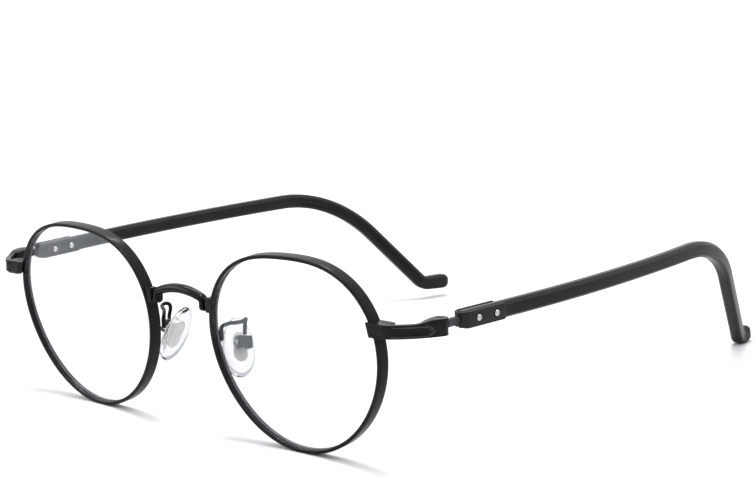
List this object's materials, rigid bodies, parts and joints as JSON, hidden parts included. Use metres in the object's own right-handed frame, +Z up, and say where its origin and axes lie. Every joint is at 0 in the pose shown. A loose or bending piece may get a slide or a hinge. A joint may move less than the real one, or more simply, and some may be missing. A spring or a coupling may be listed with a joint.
{
  "type": "round wire eyeglasses",
  "caption": "Round panto eyeglasses: metal rims, arched wire bridge, folding acetate temples with riveted caps, and clear silicone nose pads that rock.",
  "frame": {"origin": "point on the table straight below the middle of the bridge, in the plane of the lens fronts, with the open glasses standing on both rims and the left temple end", "axes": "+X towards the wearer's left temple, +Y back along the temples, +Z up"},
  "size_m": [0.14, 0.1414, 0.0418],
  "materials": {
    "black_wire": "glossy black coating over drawn wire",
    "black_metal": "satin black coating",
    "dark_screw": "black coated screw",
    "bare_metal": "dull grey steel",
    "black_acetate": "polished black acetate",
    "rivet": "polished nickel silver",
    "dark_metal": "satin dark grey coating",
    "nickel": "warm matte nickel",
    "silicone": "clear soft silicone",
    "lens": "clear lens with a faint blue-grey reflection"
  },
  "bodies": {
    "front": {"bridge": "black_wire", "left_bridge_block": "black_wire", "right_bridge_block": "black_wire", "left_rim": "black_metal", "right_rim": "black_metal", "left_lens": "lens", "right_lens": "lens", "left_lock_upper": "black_metal", "right_lock_upper": "black_metal", "left_lock_lower": "black_metal", "right_lock_lower": "black_metal", "left_rim_screw": "dark_screw", "right_rim_screw": "dark_screw", "left_endpiece": "black_metal", "right_endpiece": "black_metal", "left_hinge_screw": "dark_screw", "right_hinge_screw": "dark_screw", "left_pad_arm": "black_wire", "right_pad_arm": "black_wire", "left_pad_box": "dark_metal", "right_pad_box": "dark_metal", "left_pad_screw": "rivet", "right_pad_screw": "rivet"},
    "left_temple_arm": {"left_temple_core": "bare_metal", "left_temple": "black_acetate", "left_temple_cap": "black_metal", "left_temple_rivets": "rivet"},
    "right_temple_arm": {"right_temple_core": "bare_metal", "right_temple": "black_acetate", "right_temple_cap": "black_metal", "right_temple_rivets": "rivet"},
    "left_pad": {"left_pad_insert": "nickel", "left_nose_pad": "silicone"},
    "right_pad": {"right_pad_insert": "nickel", "right_nose_pad": "silicone"}
  },
  "joints": [
    {"name": "left_temple_fold", "type": "hinge", "parent": "front", "child": "left_temple_arm", "pos_m": [0.067, 0.008, 0.03005], "axis": [0, 0, 1], "range_deg": [0, 80]},
    {"name": "right_temple_fold", "type": "hinge", "parent": "front", "child": "right_temple_arm", "pos_m": [-0.067, 0.008, 0.03005], "axis": [0, 0, -1], "range_deg": [0, 70]},
    {"name": "left_pad_rock", "type": "hinge", "parent": "front", "child": "left_pad", "pos_m": [0.0124, 0.00658, 0.0197], "axis": [0.2123, 0.9579, -0.1932], "range_deg": [-6, 6]},
    {"name": "right_pad_rock", "type": "hinge", "parent": "front", "child": "right_pad", "pos_m": [-0.0124, 0.00658, 0.0197], "axis": [0.2123, -0.9579, 0.1932], "range_deg": [-6, 6]}
  ]
}
